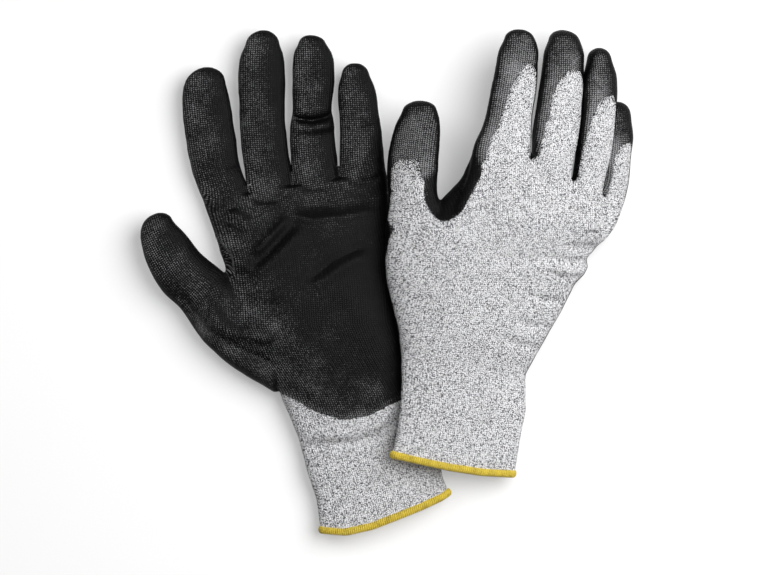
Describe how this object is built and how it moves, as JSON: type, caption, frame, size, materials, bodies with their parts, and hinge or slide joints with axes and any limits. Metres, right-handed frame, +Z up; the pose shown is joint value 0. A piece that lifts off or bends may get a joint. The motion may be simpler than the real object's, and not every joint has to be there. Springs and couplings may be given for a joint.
{
  "type": "pair of cut resistant gloves",
  "caption": "Knitted cut resistant work gloves with a dipped palm coating and elastic hemmed cuffs, lying overlapped; fingers bend at the knuckles.",
  "frame": {"origin": "middle of the pair's footprint, on the table they lie on", "axes": "+Z up from the table, +Y towards the fingertips, +X from the left glove to the right glove"},
  "size_m": [0.2568, 0.265, 0.042],
  "materials": {
    "knit": "matt grey melange knit",
    "coating": "semi-matt black polyurethane film with the knit showing through",
    "hem": "matt yellow overlocked thread",
    "elastic": "matt white covered elastic thread"
  },
  "bodies": {
    "left_hand": {"left_hand_knit": "knit", "left_cuff_knit": "knit", "left_cuff_elastic": "elastic", "left_hem": "hem", "left_palm_coating": "coating"},
    "left_thumb_base": {"left_thumb_base_knit": "knit", "left_thumb_base_coating": "coating"},
    "left_thumb_tip": {"left_thumb_tip_knit": "knit", "left_thumb_tip_coating": "coating"},
    "left_index_base": {"left_index_base_knit": "knit", "left_index_base_coating": "coating"},
    "left_index_tip": {"left_index_tip_knit": "knit", "left_index_tip_coating": "coating"},
    "left_middle_base": {"left_middle_base_knit": "knit", "left_middle_base_coating": "coating"},
    "left_middle_tip": {"left_middle_tip_knit": "knit", "left_middle_tip_coating": "coating"},
    "left_ring_base": {"left_ring_base_knit": "knit", "left_ring_base_coating": "coating"},
    "left_ring_tip": {"left_ring_tip_knit": "knit", "left_ring_tip_coating": "coating"},
    "left_little_base": {"left_little_base_knit": "knit", "left_little_base_coating": "coating"},
    "left_little_tip": {"left_little_tip_knit": "knit", "left_little_tip_coating": "coating"},
    "right_hand": {"right_hand_knit": "knit", "right_cuff_knit": "knit", "right_cuff_elastic": "elastic", "right_hem": "hem", "right_palm_coating": "coating"},
    "right_thumb_base": {"right_thumb_base_knit": "knit", "right_thumb_base_coating": "coating"},
    "right_thumb_tip": {"right_thumb_tip_knit": "knit", "right_thumb_tip_coating": "coating"},
    "right_index_base": {"right_index_base_knit": "knit", "right_index_base_coating": "coating"},
    "right_index_tip": {"right_index_tip_knit": "knit", "right_index_tip_coating": "coating"},
    "right_middle_base": {"right_middle_base_knit": "knit", "right_middle_base_coating": "coating"},
    "right_middle_tip": {"right_middle_tip_knit": "knit", "right_middle_tip_coating": "coating"},
    "right_ring_base": {"right_ring_base_knit": "knit", "right_ring_base_coating": "coating"},
    "right_ring_tip": {"right_ring_tip_knit": "knit", "right_ring_tip_coating": "coating"},
    "right_little_base": {"right_little_base_knit": "knit", "right_little_base_coating": "coating"},
    "right_little_tip": {"right_little_tip_knit": "knit", "right_little_tip_coating": "coating"}
  },
  "joints": [
    {"name": "right_glove_lift", "type": "slide", "parent": "left_hand", "child": "right_hand", "axis": [0, 0, 1], "range_m": [0, 0.15]},
    {"name": "left_thumb_root_knuckle", "type": "hinge", "parent": "left_hand", "child": "left_thumb_base", "pos_m": [-0.09992, -0.00396, 0.01827], "axis": [0.7934, 0.6088, 0], "range_deg": [0, 40], "stiffness_Nm_per_rad": 0.05},
    {"name": "left_thumb_middle_knuckle", "type": "hinge", "parent": "left_thumb_base", "child": "left_thumb_tip", "pos_m": [-0.11094, 0.0125, 0.01863], "axis": [0.876, 0.4823, 0], "range_deg": [0, 55], "stiffness_Nm_per_rad": 0.05},
    {"name": "left_index_root_knuckle", "type": "hinge", "parent": "left_hand", "child": "left_index_base", "pos_m": [-0.08676, 0.05683, 0.0128], "axis": [0.982, 0.1887, 0], "range_deg": [0, 60], "stiffness_Nm_per_rad": 0.05},
    {"name": "left_index_middle_knuckle", "type": "hinge", "parent": "left_index_base", "child": "left_index_tip", "pos_m": [-0.09089, 0.08248, 0.01431], "axis": [0.9923, 0.124, 0], "range_deg": [0, 70], "stiffness_Nm_per_rad": 0.05},
    {"name": "left_middle_root_knuckle", "type": "hinge", "parent": "left_hand", "child": "left_middle_base", "pos_m": [-0.06087, 0.06087, 0.01282], "axis": [0.9988, 0.0494, 0], "range_deg": [0, 60], "stiffness_Nm_per_rad": 0.05},
    {"name": "left_middle_middle_knuckle", "type": "hinge", "parent": "left_middle_base", "child": "left_middle_tip", "pos_m": [-0.0623, 0.09534, 0.01465], "axis": [0.9994, 0.0334, 0], "range_deg": [0, 70], "stiffness_Nm_per_rad": 0.05},
    {"name": "left_ring_root_knuckle", "type": "hinge", "parent": "left_hand", "child": "left_ring_base", "pos_m": [-0.03686, 0.06549, 0.01248], "axis": [0.9995, 0.0327, 0], "range_deg": [0, 60], "stiffness_Nm_per_rad": 0.05},
    {"name": "left_ring_middle_knuckle", "type": "hinge", "parent": "left_ring_base", "child": "left_ring_tip", "pos_m": [-0.03775, 0.096, 0.0143], "axis": [0.9997, 0.0255, 0], "range_deg": [0, 70], "stiffness_Nm_per_rad": 0.05},
    {"name": "left_little_root_knuckle", "type": "hinge", "parent": "left_hand", "child": "left_little_base", "pos_m": [-0.01475, 0.06573, 0.01224], "axis": [0.9978, 0.0665, 0], "range_deg": [0, 60], "stiffness_Nm_per_rad": 0.05},
    {"name": "left_little_middle_knuckle", "type": "hinge", "parent": "left_little_base", "child": "left_little_tip", "pos_m": [-0.01616, 0.08883, 0.01392], "axis": [0.9985, 0.0556, 0], "range_deg": [0, 70], "stiffness_Nm_per_rad": 0.05},
    {"name": "right_thumb_root_knuckle", "type": "hinge", "parent": "right_hand", "child": "right_thumb_base", "pos_m": [0.0165, 0.04744, 0.01817], "axis": [-0.9391, 0.0328, -0.342], "range_deg": [0, 40], "stiffness_Nm_per_rad": 0.05},
    {"name": "right_thumb_middle_knuckle", "type": "hinge", "parent": "right_thumb_base", "child": "right_thumb_tip", "pos_m": [0.01804, 0.06773, 0.01642], "axis": [-0.9381, 0.0546, -0.342], "range_deg": [0, 55], "stiffness_Nm_per_rad": 0.05},
    {"name": "right_index_root_knuckle", "type": "hinge", "parent": "right_hand", "child": "right_index_base", "pos_m": [0.06044, 0.0742, 0.02647], "axis": [-0.9002, 0.1564, 0.4064], "range_deg": [0, 60], "stiffness_Nm_per_rad": 0.05},
    {"name": "right_index_middle_knuckle", "type": "hinge", "parent": "right_index_base", "child": "right_index_tip", "pos_m": [0.06365, 0.10114, 0.02333], "axis": [-0.9019, 0.1514, 0.4045], "range_deg": [0, 70], "stiffness_Nm_per_rad": 0.05},
    {"name": "right_middle_root_knuckle", "type": "hinge", "parent": "right_hand", "child": "right_middle_base", "pos_m": [0.08494, 0.06878, 0.02348], "axis": [-0.9064, 0.1149, 0.4065], "range_deg": [0, 60], "stiffness_Nm_per_rad": 0.05},
    {"name": "right_middle_middle_knuckle", "type": "hinge", "parent": "right_middle_base", "child": "right_middle_tip", "pos_m": [0.08652, 0.09835, 0.01883], "axis": [-0.9077, 0.1082, 0.4054], "range_deg": [0, 70], "stiffness_Nm_per_rad": 0.05},
    {"name": "right_ring_root_knuckle", "type": "hinge", "parent": "right_hand", "child": "right_ring_base", "pos_m": [0.103, 0.05906, 0.01364], "axis": [-0.9092, 0.0888, 0.4068], "range_deg": [0, 60], "stiffness_Nm_per_rad": 0.05},
    {"name": "right_ring_middle_knuckle", "type": "hinge", "parent": "right_ring_base", "child": "right_ring_tip", "pos_m": [0.10503, 0.08973, 0.01226], "axis": [-0.911, 0.0665, 0.4071], "range_deg": [0, 70], "stiffness_Nm_per_rad": 0.05},
    {"name": "right_little_root_knuckle", "type": "hinge", "parent": "right_hand", "child": "right_little_base", "pos_m": [0.11565, 0.05078, 0.00142], "axis": [-0.9092, 0.0894, 0.4067], "range_deg": [0, 60], "stiffness_Nm_per_rad": 0.05},
    {"name": "right_little_middle_knuckle", "type": "hinge", "parent": "right_little_base", "child": "right_little_tip", "pos_m": [0.11736, 0.07229, 0.00109], "axis": [-0.9109, 0.0692, 0.4069], "range_deg": [0, 70], "stiffness_Nm_per_rad": 0.05}
  ]
}
